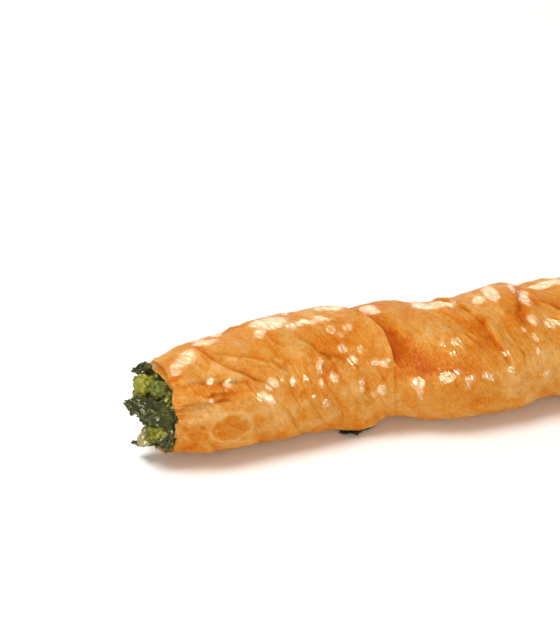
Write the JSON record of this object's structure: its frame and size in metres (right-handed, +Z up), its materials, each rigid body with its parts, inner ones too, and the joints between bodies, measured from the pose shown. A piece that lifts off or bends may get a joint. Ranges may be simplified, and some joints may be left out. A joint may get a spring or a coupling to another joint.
{
  "type": "spinach roll",
  "caption": "Baked filo roll lying on its side, twisted golden pastry round a core of chopped spinach that shows as ragged leaves at both open ends.",
  "frame": {"origin": "centre of the roll's bounding box, on the flat underside that it lies on", "axes": "+X along the roll, +Y away from the viewer's side, +Z up"},
  "size_m": [0.2252, 0.0458, 0.0389],
  "materials": {
    "pastry": "baked filo, golden orange to pale cream, brushed with fat and glossy",
    "spinach": "cooked chopped spinach, moist, near-black green to yellow-green"
  },
  "bodies": {
    "root": {"pastry": "pastry", "filling": "spinach", "leaf_scrap": "spinach"}
  },
  "joints": []
}
